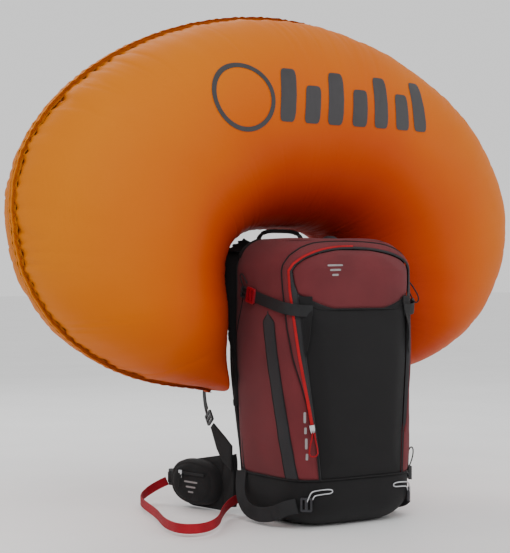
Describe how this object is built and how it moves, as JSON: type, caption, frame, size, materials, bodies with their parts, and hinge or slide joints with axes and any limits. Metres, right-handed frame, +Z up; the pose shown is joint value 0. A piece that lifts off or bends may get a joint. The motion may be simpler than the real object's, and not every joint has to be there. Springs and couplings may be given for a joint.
{
  "type": "avalanche airbag backpack",
  "caption": "Touring backpack with its horseshoe-shaped avalanche balloon inflated behind it, blower system, harness, hip belt and leg strap, standing on its base.",
  "frame": {"origin": "on the flat base under the middle of the bag, on the surface that the pack stands on", "axes": "+Z up; -Y is the front pocket, +Y the wearer's side; X runs across, with -X the side of the hip pocket and leg strap"},
  "size_m": [1.154, 0.4792, 0.985],
  "materials": {
    "maroon_fabric": "matt plain-weave nylon",
    "black_fabric": "matt packcloth",
    "grey_fabric": "matt ripstop",
    "balloon_nylon": "thin coated nylon",
    "black_webbing": "woven webbing",
    "red_webbing": "woven webbing",
    "red_cord": "braided cord and zip coil",
    "black_plastic": "moulded acetal",
    "grey_plastic": "moulded nylon",
    "red_plastic": "moulded acetal",
    "valve_rubber": "silicone flap",
    "cable_sheath": "PVC sheath",
    "frame_aluminium": "bent rod, natural",
    "hook_aluminium": "pressed, satin",
    "slider_metal": "die-cast, satin",
    "motor_can": "turned can",
    "capacitor_sleeve": "heat-shrunk sleeve",
    "board_green": "glass-epoxy board",
    "battery_can": "plated can"
  },
  "bodies": {
    "pack": {"base_boot": "black_fabric", "side_panel_left": "maroon_fabric", "side_panel_right": "maroon_fabric", "top_panel": "maroon_fabric", "pocket_dome": "maroon_fabric", "pocket_front": "black_fabric", "divider_panel": "grey_fabric", "back_panel": "grey_fabric", "frame_wire": "frame_aluminium", "lumbar_pad": "black_fabric", "yoke": "black_fabric", "balloon_front": "balloon_nylon", "balloon_rear": "balloon_nylon", "anchor_tab_left": "black_webbing", "anchor_tab_right": "black_webbing", "zip_track": "red_cord", "side_bands": "grey_fabric", "side_strap_left": "black_webbing", "side_strap_right": "black_webbing", "ski_loop_left": "black_webbing", "ski_loop_right": "black_webbing", "hip_stabiliser_left": "black_fabric", "hip_stabiliser_right": "black_fabric", "lower_webbing_left": "black_webbing", "lower_webbing_right": "black_webbing", "strap_adjuster_left": "black_plastic", "strap_adjuster_right": "black_plastic", "blower_housing": "grey_plastic", "inlet_grille": "black_plastic", "blower_motor": "motor_can", "outlet_duct": "grey_plastic", "supercapacitors": "capacitor_sleeve", "electronics_case": "grey_plastic", "circuit_board": "board_green", "batteries": "battery_can", "trigger_cable": "cable_sheath", "leg_strap": "red_webbing"},
    "impeller": {"impeller": "black_plastic"},
    "check_valve": {"check_valve": "valve_rubber"},
    "power_button": {"power_button": "red_plastic"},
    "battery_door": {"battery_door": "black_plastic"},
    "haul_handle": {"haul_handle": "black_webbing"},
    "strap_left": {"shoulder_strap_left": "black_fabric", "trigger_socket": "grey_plastic"},
    "strap_right": {"shoulder_strap_right": "black_fabric"},
    "trigger": {"trigger_handle": "red_plastic"},
    "sternum_left": {"sternum_left": "black_plastic"},
    "sternum_right": {"sternum_right": "black_plastic"},
    "wing_left": {"hip_wing_left": "black_fabric", "hip_pocket": "black_fabric", "hip_buckle_male": "black_plastic"},
    "wing_right": {"hip_wing_right": "black_fabric", "hip_buckle_female": "black_plastic"},
    "pocket_slider": {"pocket_slider": "slider_metal"},
    "front_slider": {"front_slider": "slider_metal"},
    "front_puller": {"front_puller": "red_cord"},
    "side_buckle_left": {"side_buckle_left": "red_plastic"},
    "side_buckle_right": {"side_buckle_right": "red_plastic"},
    "ski_hook_left": {"ski_hook_left": "hook_aluminium"},
    "ski_hook_right": {"ski_hook_right": "hook_aluminium"}
  },
  "joints": [
    {"name": "impeller_spin", "type": "hinge", "parent": "pack", "child": "impeller", "pos_m": [0.058, 0.06, 0.43], "axis": [0, 0, 1], "continuous": true},
    {"name": "check_valve_swing", "type": "hinge", "parent": "pack", "child": "check_valve", "pos_m": [0.07245, 0.07445, 0.50572], "axis": [0.7071, -0.7071, 0], "range_deg": [0, 45]},
    {"name": "power_button_press", "type": "slide", "parent": "pack", "child": "power_button", "axis": [0, 1, 0], "range_m": [0, 0.0012], "stiffness_N_per_m": 900},
    {"name": "battery_door_open", "type": "hinge", "parent": "pack", "child": "battery_door", "pos_m": [-0.058, 0.0396, 0.4064], "axis": [1, 0, 0], "range_deg": [0, 105]},
    {"name": "haul_handle_swing", "type": "hinge", "parent": "pack", "child": "haul_handle", "pos_m": [-0.012, 0.12, 0.519], "axis": [1, 0, 0], "range_deg": [-8, 20]},
    {"name": "shoulder_strap_left_swing", "type": "hinge", "parent": "pack", "child": "strap_left", "pos_m": [-0.066, 0.127, 0.506], "axis": [1, 0, 0], "range_deg": [0, 26]},
    {"name": "shoulder_strap_right_swing", "type": "hinge", "parent": "pack", "child": "strap_right", "pos_m": [0.066, 0.127, 0.506], "axis": [1, 0, 0], "range_deg": [0, 26]},
    {"name": "trigger_pull", "type": "slide", "parent": "strap_left", "child": "trigger", "axis": [0, 0, -1], "range_m": [0, 0.026], "stiffness_N_per_m": 150, "springref_m": -0.004},
    {"name": "sternum_left_slide", "type": "slide", "parent": "strap_left", "child": "sternum_left", "axis": [0, -0.309, 0.9511], "range_m": [-0.014, 0.014]},
    {"name": "sternum_right_slide", "type": "slide", "parent": "strap_right", "child": "sternum_right", "axis": [0, -0.309, 0.9511], "range_m": [-0.014, 0.014]},
    {"name": "hip_wing_left_fold", "type": "hinge", "parent": "pack", "child": "wing_left", "pos_m": [-0.128, 0.113, 0.055], "axis": [0, 0, -1], "range_deg": [0, 24]},
    {"name": "hip_wing_right_fold", "type": "hinge", "parent": "pack", "child": "wing_right", "pos_m": [0.128, 0.113, 0.055], "axis": [0, 0, 1], "range_deg": [0, 24]},
    {"name": "hip_pocket_zip_slide", "type": "slide", "parent": "wing_left", "child": "pocket_slider", "axis": [0.1736, -0.9848, 0], "range_m": [0, 0.07]},
    {"name": "front_zip_slide", "type": "slide", "parent": "pack", "child": "front_slider", "axis": [-0.1272, 0.1056, 0.9862], "range_m": [0, 0.15]},
    {"name": "front_puller_swing", "type": "hinge", "parent": "front_slider", "child": "front_puller", "pos_m": [-0.11597, -0.13634, 0.18192], "axis": [-0.9207, 0.3903, 0], "range_deg": [0, 60]},
    {"name": "side_buckle_left_tilt", "type": "hinge", "parent": "pack", "child": "side_buckle_left", "pos_m": [-0.1619, 0.0146, 0.43202], "axis": [0, 0.2204, -0.9754], "range_deg": [0, 30]},
    {"name": "side_buckle_right_tilt", "type": "hinge", "parent": "pack", "child": "side_buckle_right", "pos_m": [0.1619, 0.0146, 0.43202], "axis": [0, -0.2204, 0.9754], "range_deg": [0, 30]},
    {"name": "ski_hook_left_swing", "type": "hinge", "parent": "pack", "child": "ski_hook_left", "pos_m": [-0.1292, -0.114, 0.047], "axis": [0, 0, -1], "range_deg": [0, 25]},
    {"name": "ski_hook_right_swing", "type": "hinge", "parent": "pack", "child": "ski_hook_right", "pos_m": [0.1292, -0.114, 0.047], "axis": [0, 0, 1], "range_deg": [0, 25]}
  ]
}
